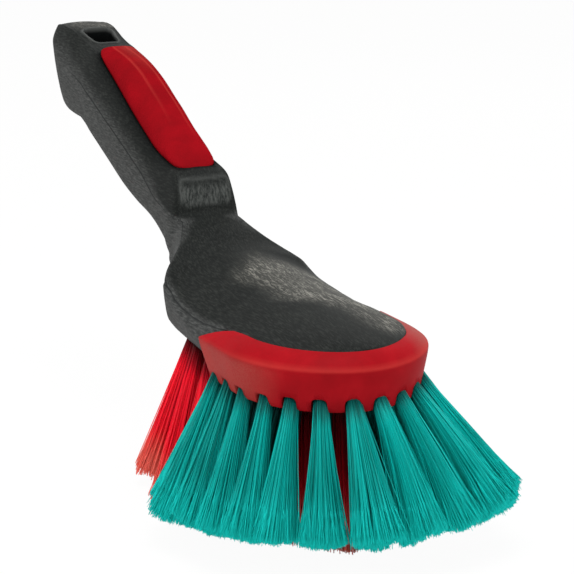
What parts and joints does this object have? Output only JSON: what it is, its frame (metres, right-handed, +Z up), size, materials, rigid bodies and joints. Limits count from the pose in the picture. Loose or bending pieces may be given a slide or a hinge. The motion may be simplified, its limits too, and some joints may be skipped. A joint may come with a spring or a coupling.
{
  "type": "wash brush",
  "caption": "hand wash brush: long charcoal handle block with a red grip inset and soft front bumper, teal outer and red inner bristle tufts, slot at the handle's end to hang it",
  "frame": {"origin": "on the surface that the brush stands on, under the middle of its bounding box", "axes": "+Y runs from the head's nose toward the end of the handle, +Z is up, X is across the head"},
  "size_m": [0.1242, 0.3238, 0.1681],
  "materials": {
    "charcoal_plastic": "matt, finely grained charcoal polypropylene with a rubbed look on top of the head",
    "bumper_rubber": "smooth satin red soft rubber",
    "grip_rubber": "smooth matt deep red soft rubber",
    "teal_bristle": "fine satin synthetic filaments with feathered tips",
    "red_bristle": "fine satin synthetic filaments"
  },
  "bodies": {
    "root": {"handle_block": "charcoal_plastic", "front_bumper": "bumper_rubber", "handle_grip": "grip_rubber", "outer_tuft_right_1": "teal_bristle", "outer_tuft_left_1": "teal_bristle", "outer_tuft_right_2": "teal_bristle", "outer_tuft_left_2": "teal_bristle", "outer_tuft_right_3": "teal_bristle", "outer_tuft_left_3": "teal_bristle", "outer_tuft_right_4": "teal_bristle", "outer_tuft_left_4": "teal_bristle", "outer_tuft_right_5": "teal_bristle", "outer_tuft_left_5": "teal_bristle", "outer_tuft_right_6": "teal_bristle", "outer_tuft_left_6": "teal_bristle", "outer_tuft_right_7": "teal_bristle", "outer_tuft_left_7": "teal_bristle", "outer_tuft_right_8": "teal_bristle", "outer_tuft_left_8": "teal_bristle", "second_tuft_middle": "teal_bristle", "second_tuft_right_2": "teal_bristle", "second_tuft_left_2": "teal_bristle", "second_tuft_right_3": "teal_bristle", "second_tuft_left_3": "teal_bristle", "second_tuft_right_4": "teal_bristle", "second_tuft_left_4": "teal_bristle", "second_tuft_right_5": "teal_bristle", "second_tuft_left_5": "teal_bristle", "second_tuft_right_6": "teal_bristle", "second_tuft_left_6": "teal_bristle", "second_tuft_right_7": "teal_bristle", "second_tuft_left_7": "teal_bristle", "inner_tuft_middle_1": "red_bristle", "inner_tuft_right_2": "red_bristle", "inner_tuft_left_2": "red_bristle", "inner_tuft_middle_3": "red_bristle", "inner_tuft_right_4": "red_bristle", "inner_tuft_left_4": "red_bristle", "inner_tuft_right_5": "red_bristle", "inner_tuft_left_5": "red_bristle", "inner_tuft_right_6": "red_bristle", "inner_tuft_left_6": "red_bristle", "inner_tuft_right_7": "red_bristle", "inner_tuft_left_7": "red_bristle", "inner_tuft_right_8": "red_bristle", "inner_tuft_left_8": "red_bristle", "inner_tuft_right_9": "red_bristle", "inner_tuft_left_9": "red_bristle", "inner_tuft_right_10": "red_bristle", "inner_tuft_left_10": "red_bristle", "inner_tuft_right_11": "red_bristle", "inner_tuft_left_11": "red_bristle", "inner_tuft_right_12": "red_bristle", "inner_tuft_left_12": "red_bristle", "inner_tuft_right_13": "red_bristle", "inner_tuft_left_13": "red_bristle", "inner_tuft_right_14": "red_bristle", "inner_tuft_left_14": "red_bristle", "inner_tuft_right_15": "red_bristle", "inner_tuft_left_15": "red_bristle"}
  },
  "joints": []
}
